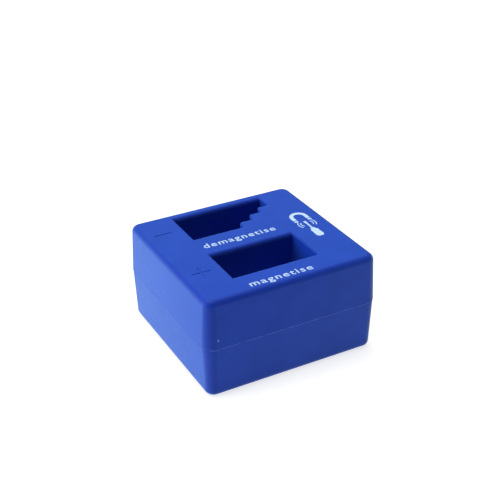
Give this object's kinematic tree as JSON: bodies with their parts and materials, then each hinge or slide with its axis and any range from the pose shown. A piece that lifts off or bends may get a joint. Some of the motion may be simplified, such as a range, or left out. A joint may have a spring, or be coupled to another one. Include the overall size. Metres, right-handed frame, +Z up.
{
  "type": "screwdriver magnetiser and demagnetiser",
  "caption": "Moulded plastic block with a rectangular opening that magnetises screwdrivers and tweezers, and a stepped opening that demagnetises them.",
  "frame": {"origin": "the centre of the underside, where the block stands on the bench", "axes": "+X to the right along the front edge, +Y from the front face to the back, +Z up through the openings"},
  "size_m": [0.05, 0.048, 0.028],
  "materials": {
    "shell_blue": "satin",
    "ferrite": "matte",
    "pole_steel": "satin",
    "foam": "matte",
    "print_white": "satin"
  },
  "bodies": {
    "root": {"upper_shell": "shell_blue", "lower_shell": "shell_blue", "centre_front_pole_plate": "pole_steel", "centre_magnet": "ferrite", "centre_back_pole_plate": "pole_steel", "centre_foam_pad": "foam", "front_magnet": "ferrite", "front_pole_plate": "pole_steel", "front_foam_pad": "foam"}
  },
  "joints": []
}
